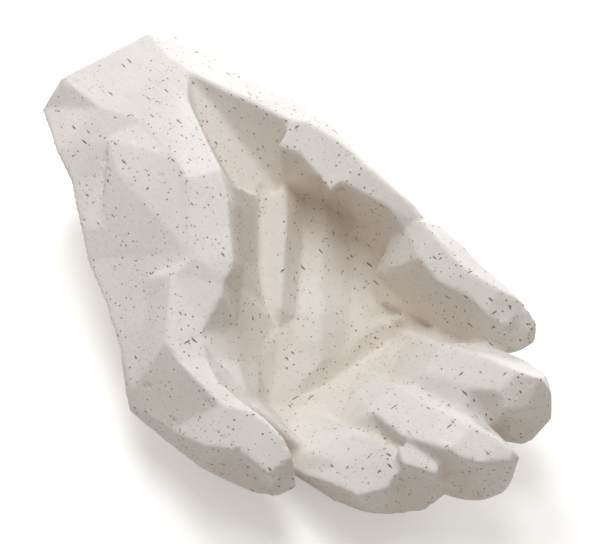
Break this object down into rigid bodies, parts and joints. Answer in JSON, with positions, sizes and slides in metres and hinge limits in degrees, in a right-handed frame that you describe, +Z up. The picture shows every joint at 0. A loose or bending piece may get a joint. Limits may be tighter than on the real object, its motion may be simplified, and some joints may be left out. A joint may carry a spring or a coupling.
{
  "type": "ceramic hand sculpture",
  "caption": "Faceted open hand in matt clay, palm up and cupped, that stands on felt pads as an ornament and holds small things.",
  "frame": {"origin": "centre of the bounding box in plan, at the height of the surface that the felt pads stand on", "axes": "+X runs from the wrist to the fingertips, +Y to the little-finger side (the thumb is on -Y), +Z up; a right hand with its palm up"},
  "size_m": [0.1994, 0.107, 0.0525],
  "materials": {
    "clay": "matt unglazed grogged clay, off-white, with fine pores and tool marks",
    "felt": "pressed wool felt, light grey-beige"
  },
  "bodies": {
    "root": {"hand_body": "clay", "felt_pad_heel": "felt", "felt_pad_thumb_side": "felt", "felt_pad_little_side": "felt"}
  },
  "joints": []
}
